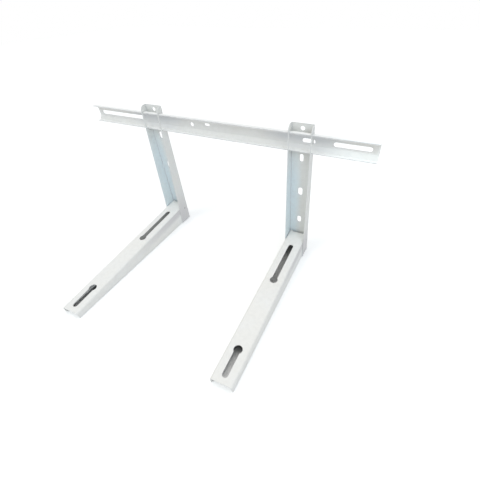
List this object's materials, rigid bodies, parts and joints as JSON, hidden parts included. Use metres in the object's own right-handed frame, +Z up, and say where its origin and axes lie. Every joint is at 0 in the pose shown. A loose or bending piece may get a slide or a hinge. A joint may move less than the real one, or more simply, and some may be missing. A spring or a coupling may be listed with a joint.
{
  "type": "air conditioner outdoor unit bracket",
  "caption": "Wall bracket set of painted folded steel: slotted crossbar, upright channels and tapered arms with keyholes that carry an air conditioner's outdoor unit.",
  "frame": {"origin": "middle of the bounding box at its lowest level: under the middle of the crossbar, halfway between the wall plane and the arm tips, level with the uprights' lowest edge", "axes": "+X along the crossbar, +Y towards the wall, +Z up"},
  "size_m": [0.8, 0.461, 0.3828],
  "materials": {
    "crossbar": "satin white powder paint",
    "left_upright": "satin white powder paint",
    "right_upright": "satin white powder paint",
    "left_arm": "satin white powder paint",
    "right_arm": "satin white powder paint"
  },
  "bodies": {
    "root": {"crossbar": "crossbar", "left_upright": "left_upright", "right_upright": "right_upright", "left_arm": "left_arm", "right_arm": "right_arm"}
  },
  "joints": []
}
